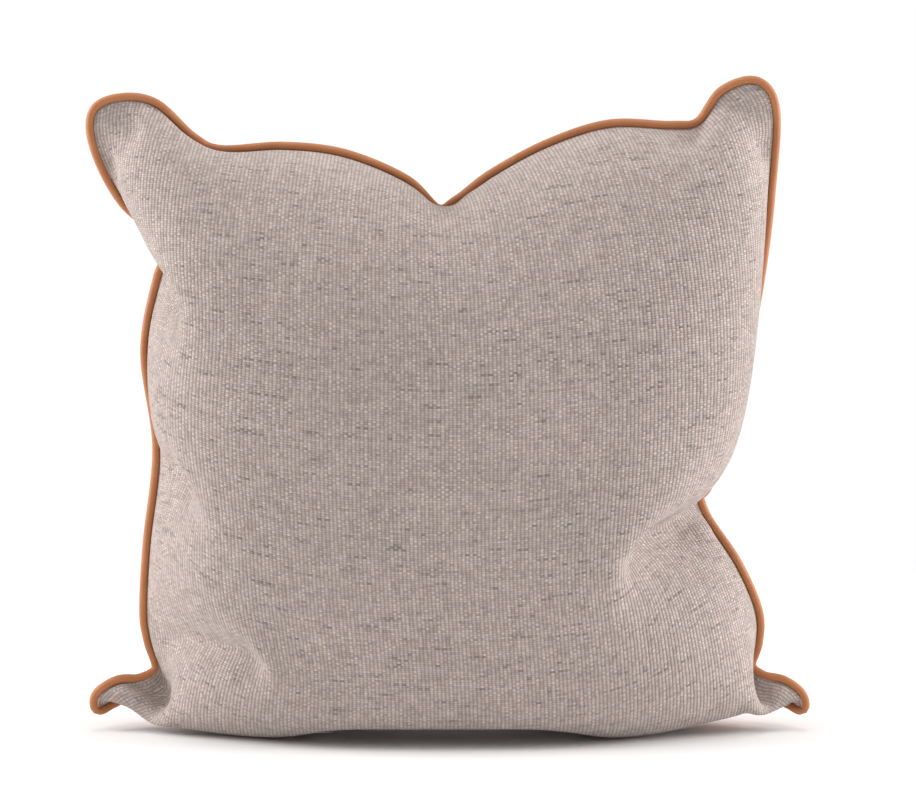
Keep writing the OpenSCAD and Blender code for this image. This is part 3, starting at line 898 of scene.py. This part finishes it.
def pulled_in(points, side, middle):
    """The surface with every point as far in as its innermost neighbour, which leaves creases room."""
    m, n = points.shape[:2]
    y = np.pad(points[..., 1], 1, mode="edge")
    near = [y[i:i + m, j:j + n] for i in range(3) for j in range(3)]
    inner = np.maximum(np.min(near, 0), middle) if side > 0 else np.minimum(np.max(near, 0), middle)
    return np.stack([points[..., 0], inner, points[..., 2]], -1)


def insert_sheet(side, depth):
    """The insert's surface: a set depth inside the cover, and half way between its sides at the rim."""
    s = np.linspace(0, 1, INSERT_STEPS + 1)
    A, B = np.meshgrid(s, s, indexing="ij")
    u = INSERT_EDGE + (1 - 2 * INSERT_EDGE) * A
    v = INSERT_EDGE + (1 - 2 * INSERT_EDGE) * B
    front, back = sample(front_points, u, v, FRONT_ROWS), sample(back_points, u, v, BACK_ROWS)
    middle = (front + back) / 2
    here = pulled_in(front if side < 0 else back, side, middle[..., 1])
    inward = middle - here
    room = np.maximum(np.linalg.norm(inward, axis=2), 1e-6)
    hollow = ZIP_ROOM * zip_hold(here[..., 0], v) if side > 0 else 0
    crown = np.sqrt((1 - np.abs(2 * A - 1) ** 8) * (1 - np.abs(2 * B - 1) ** 8))
    share = 1 - (1 - np.clip((depth + hollow) / room, 0, 1)) * crown
    return here + inward * np.minimum(share, 0.995)[..., None]


def insert_half(name, node, side):
    q = insert_sheet(side, INSERT_DEPTH)
    obj = new_object(name, q.reshape(-1, 3), grid_faces(INSERT_STEPS, INSERT_STEPS, side > 0))
    solid = obj.modifiers.new("thickness", "SOLIDIFY")
    solid.thickness = TICKING_T
    solid.offset = -1
    dress(obj, TICKING, "cushion", "ticking", node)


def filling():
    front, back = insert_sheet(-1, FILLING_DEPTH), insert_sheet(1, FILLING_DEPTH)
    n = INSERT_STEPS
    half = (n + 1) ** 2
    verts = np.concatenate([front.reshape(-1, 3), back.reshape(-1, 3)])
    faces = grid_faces(n, n, False) + [tuple(half + k for k in f) for f in grid_faces(n, n, True)]
    edge = [i * (n + 1) for i in range(n)] + [n * (n + 1) + j for j in range(n)]
    edge += [i * (n + 1) + n for i in range(n, 0, -1)] + [j for j in range(n, 0, -1)]
    faces += [
        (edge[(k + 1) % len(edge)], edge[k], half + edge[k], half + edge[(k + 1) % len(edge)])
        for k in range(len(edge))
    ]
    obj = new_object("insert_filling", verts, faces)
    dress(obj, FILLING, "cushion", "filling", "insert_fill")


insert_half("insert_ticking_front", "insert_front", -1)
insert_half("insert_ticking_back", "insert_back", 1)
filling()

# ---------------------------------------------------------------- floor, light and camera


def pale_floor():
    """A matt floor round the pillow that turns into an evenly lit white sweep further out."""
    g = Nodes("pale_floor")
    g.set(Base_Color=(0.90, 0.90, 0.90, 1), Roughness=0.8, Specular_IOR_Level=0.1)
    at = g.node("ShaderNodeTexCoord").outputs["Object"]
    away = g.node("ShaderNodeVectorMath", {"operation": "LENGTH"}, Vector=at).outputs["Value"]
    sweep = g.node("ShaderNodeEmission", Color=(1, 1, 1, 1), Strength=1.0)
    blend = g.node("ShaderNodeMixShader", Fac=g.ramp(away, 0.35, 1.1))
    g.tree.links.new(g.shader.outputs[0], blend.inputs[1])
    g.tree.links.new(sweep.outputs[0], blend.inputs[2])
    g.tree.links.new(blend.outputs[0], g.out.inputs[0])
    return g.mat


def studio():
    """White all round: an even sky, and a soft light from each side and from above."""
    floor = new_object("floor", [(-9, -9, 0), (9, -9, 0), (9, 9, 0), (-9, 9, 0)], [(0, 1, 2, 3)])
    floor.data.materials.append(pale_floor())
    world = bpy.data.worlds.new("studio")
    bpy.context.scene.world = world
    world.use_nodes = True
    tree = world.node_tree
    sky = tree.nodes["Background"]
    sky.inputs[0].default_value = (1, 1, 1, 1)
    sky.inputs[1].default_value = 0.50
    backdrop = tree.nodes.new("ShaderNodeBackground")
    backdrop.inputs[0].default_value = (1, 1, 1, 1)
    seen = tree.nodes.new("ShaderNodeLightPath")
    pick = tree.nodes.new("ShaderNodeMixShader")
    tree.links.new(seen.outputs["Is Camera Ray"], pick.inputs[0])
    tree.links.new(sky.outputs[0], pick.inputs[1])
    tree.links.new(backdrop.outputs[0], pick.inputs[2])
    tree.links.new(pick.outputs[0], tree.nodes["World Output"].inputs[0])
    for name, place, size, power in (
        ("left_softbox", (-2.0, 0.05, 0.9), 1.2, 44),
        ("right_softbox", (2.0, 0.05, 0.8), 1.2, 43),
        ("top_softbox", (0.0, -0.1, 2.2), 1.2, 18),
    ):
        data = bpy.data.lights.new(name, "AREA")
        data.size = size
        data.energy = power
        lamp = bpy.data.objects.new(name, data)
        bpy.context.scene.collection.objects.link(lamp)
        lamp.location = place
        lamp.rotation_euler = (Vector((0, 0, 0.2)) - Vector(place)).to_track_quat("-Z", "Y").to_euler()


def camera():
    """A long lens a little above the pillow's middle, looking slightly down."""
    distance, tilt = 2.2, math.radians(4)
    frame_width = 0.6256
    aim = Vector((0.0055, 0, 0.232))
    data = bpy.data.cameras.new("camera")
    data.sensor_width = 36
    data.lens = 36 * distance / frame_width
    cam = bpy.data.objects.new("camera", data)
    bpy.context.scene.collection.objects.link(cam)
    cam.location = aim + Vector((0, -distance * math.cos(tilt), distance * math.sin(tilt)))
    cam.rotation_euler = (math.pi / 2 - tilt, 0, 0)
    bpy.context.scene.camera = cam


studio()
camera()
bpy.context.scene.view_settings.view_transform = "Standard"
